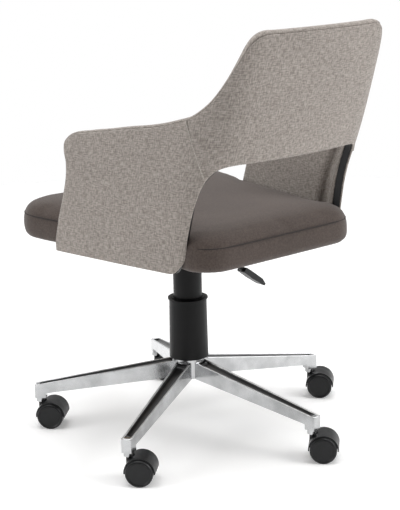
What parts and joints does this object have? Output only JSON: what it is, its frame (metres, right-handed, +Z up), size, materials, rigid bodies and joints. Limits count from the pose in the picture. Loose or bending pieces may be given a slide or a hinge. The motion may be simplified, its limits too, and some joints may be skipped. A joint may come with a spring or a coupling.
{
  "type": "swivel office chair",
  "caption": "Swivel office chair with a wrap-round upholstered shell, separate seat cushion, gas lift in telescopic covers and a polished five-star base on twin-wheel casters.",
  "frame": {"origin": "on the floor, on the axis of the column", "axes": "+Z up; the chair faces -Y; +X is the sitter's left"},
  "size_m": [0.6156, 0.6495, 0.793],
  "materials": {
    "polished_aluminium": "die-cast aluminium, polished bright",
    "bright_steel": "plain bright steel",
    "black_paint": "black powder paint on steel",
    "bush_plastic": "dark acetal",
    "rubber": "black rubber buffer",
    "black_plastic": "black moulded plastic, slightly satin",
    "caster_plastic": "black nylon",
    "plywood": "birch plywood",
    "seat_fabric": "brown-grey woven upholstery",
    "core_plastic": "black moulded shell",
    "shell_fabric": "heathered grey-beige woven upholstery"
  },
  "bodies": {
    "base": {"star_base": "polished_aluminium", "standing_tube": "bright_steel", "guide_bush": "bush_plastic", "bearing_race_lower": "bright_steel", "lower_cover": "black_plastic", "caster_1_stem": "bright_steel", "caster_2_stem": "bright_steel", "caster_3_stem": "bright_steel", "caster_4_stem": "bright_steel", "caster_5_stem": "bright_steel"},
    "piston": {"piston_rod": "bright_steel", "bearing_race_upper": "bright_steel", "bearing_balls": "bright_steel", "rubber_buffer": "rubber", "retaining_clip": "bright_steel"},
    "seat": {"pressure_cylinder": "black_paint", "upper_cover": "black_plastic", "seat_plate": "black_paint", "lever_pivot_pin": "bright_steel", "seat_board": "plywood", "cross_bars": "black_paint", "plate_bolts": "bright_steel", "plate_tee_nuts": "bright_steel", "arm_bolts": "bright_steel", "arm_tee_nuts": "bright_steel", "seat_cushion": "seat_fabric", "shell_core": "core_plastic", "outer_cover": "shell_fabric", "inner_pad": "shell_fabric"},
    "middle_sleeve": {"middle_cover": "black_plastic"},
    "lever": {"lever_rod": "black_paint", "lever_handle": "black_plastic"},
    "valve_pin": {"release_pin": "bright_steel"},
    "caster_1": {"caster_1_hood": "caster_plastic", "caster_1_axle": "bright_steel"},
    "wheel_1_left": {"caster_1_wheel_left": "caster_plastic"},
    "wheel_1_right": {"caster_1_wheel_right": "caster_plastic"},
    "caster_2": {"caster_2_hood": "caster_plastic", "caster_2_axle": "bright_steel"},
    "wheel_2_left": {"caster_2_wheel_left": "caster_plastic"},
    "wheel_2_right": {"caster_2_wheel_right": "caster_plastic"},
    "caster_3": {"caster_3_hood": "caster_plastic", "caster_3_axle": "bright_steel"},
    "wheel_3_left": {"caster_3_wheel_left": "caster_plastic"},
    "wheel_3_right": {"caster_3_wheel_right": "caster_plastic"},
    "caster_4": {"caster_4_hood": "caster_plastic", "caster_4_axle": "bright_steel"},
    "wheel_4_left": {"caster_4_wheel_left": "caster_plastic"},
    "wheel_4_right": {"caster_4_wheel_right": "caster_plastic"},
    "caster_5": {"caster_5_hood": "caster_plastic", "caster_5_axle": "bright_steel"},
    "wheel_5_left": {"caster_5_wheel_left": "caster_plastic"},
    "wheel_5_right": {"caster_5_wheel_right": "caster_plastic"}
  },
  "joints": [
    {"name": "swivel", "type": "hinge", "parent": "base", "child": "piston", "pos_m": [0, 0, 0.2], "axis": [0, 0, 1], "continuous": true},
    {"name": "gas_lift", "type": "slide", "parent": "piston", "child": "seat", "axis": [0, 0, 1], "range_m": [0, 0.1]},
    {"name": "middle_cover_rise", "type": "slide", "parent": "base", "child": "middle_sleeve", "axis": [0, 0, 1], "range_m": [0, 0.05]},
    {"name": "lever_lift", "type": "hinge", "parent": "seat", "child": "lever", "pos_m": [-0.034, 0, 0.365], "axis": [0, 1, 0], "range_deg": [0, 5], "stiffness_Nm_per_rad": 2},
    {"name": "valve_press", "type": "slide", "parent": "seat", "child": "valve_pin", "axis": [0, 0, -1], "range_m": [0, 0.0035]},
    {"name": "caster_1_swivel", "type": "hinge", "parent": "base", "child": "caster_1", "pos_m": [0.25609, 0.13502, 0.045], "axis": [0, 0, 1], "continuous": true},
    {"name": "caster_1_left_spin", "type": "hinge", "parent": "caster_1", "child": "wheel_1_left", "pos_m": [0.24203, 0.15063, 0.025], "axis": [-0.7431, -0.6691, 0], "continuous": true},
    {"name": "caster_1_right_spin", "type": "hinge", "parent": "caster_1", "child": "wheel_1_right", "pos_m": [0.24203, 0.15063, 0.025], "axis": [-0.7431, -0.6691, 0], "continuous": true},
    {"name": "caster_2_swivel", "type": "hinge", "parent": "base", "child": "caster_2", "pos_m": [-0.04928, 0.28528, 0.045], "axis": [0, 0, 1], "continuous": true},
    {"name": "caster_2_left_spin", "type": "hinge", "parent": "caster_2", "child": "wheel_2_left", "pos_m": [-0.06333, 0.30088, 0.025], "axis": [-0.7431, -0.6691, 0], "continuous": true},
    {"name": "caster_2_right_spin", "type": "hinge", "parent": "caster_2", "child": "wheel_2_right", "pos_m": [-0.06333, 0.30088, 0.025], "axis": [-0.7431, -0.6691, 0], "continuous": true},
    {"name": "caster_3_swivel", "type": "hinge", "parent": "base", "child": "caster_3", "pos_m": [-0.28654, 0.04129, 0.045], "axis": [0, 0, 1], "continuous": true},
    {"name": "caster_3_left_spin", "type": "hinge", "parent": "caster_3", "child": "wheel_3_left", "pos_m": [-0.30059, 0.0569, 0.025], "axis": [-0.7431, -0.6691, 0], "continuous": true},
    {"name": "caster_3_right_spin", "type": "hinge", "parent": "caster_3", "child": "wheel_3_right", "pos_m": [-0.30059, 0.0569, 0.025], "axis": [-0.7431, -0.6691, 0], "continuous": true},
    {"name": "caster_4_swivel", "type": "hinge", "parent": "base", "child": "caster_4", "pos_m": [-0.12782, -0.25976, 0.045], "axis": [0, 0, 1], "continuous": true},
    {"name": "caster_4_left_spin", "type": "hinge", "parent": "caster_4", "child": "wheel_4_left", "pos_m": [-0.14187, -0.24415, 0.025], "axis": [-0.7431, -0.6691, 0], "continuous": true},
    {"name": "caster_4_right_spin", "type": "hinge", "parent": "caster_4", "child": "wheel_4_right", "pos_m": [-0.14187, -0.24415, 0.025], "axis": [-0.7431, -0.6691, 0], "continuous": true},
    {"name": "caster_5_swivel", "type": "hinge", "parent": "base", "child": "caster_5", "pos_m": [0.20755, -0.20183, 0.045], "axis": [0, 0, 1], "continuous": true},
    {"name": "caster_5_left_spin", "type": "hinge", "parent": "caster_5", "child": "wheel_5_left", "pos_m": [0.19349, -0.18622, 0.025], "axis": [-0.7431, -0.6691, 0], "continuous": true},
    {"name": "caster_5_right_spin", "type": "hinge", "parent": "caster_5", "child": "wheel_5_right", "pos_m": [0.19349, -0.18622, 0.025], "axis": [-0.7431, -0.6691, 0], "continuous": true}
  ],
  "couplings": [
    {"joint": "middle_cover_rise", "follows": "gas_lift", "ratio": 0.5},
    {"joint": "valve_press", "follows": "lever_lift", "m_per_rad": 0.038}
  ]
}
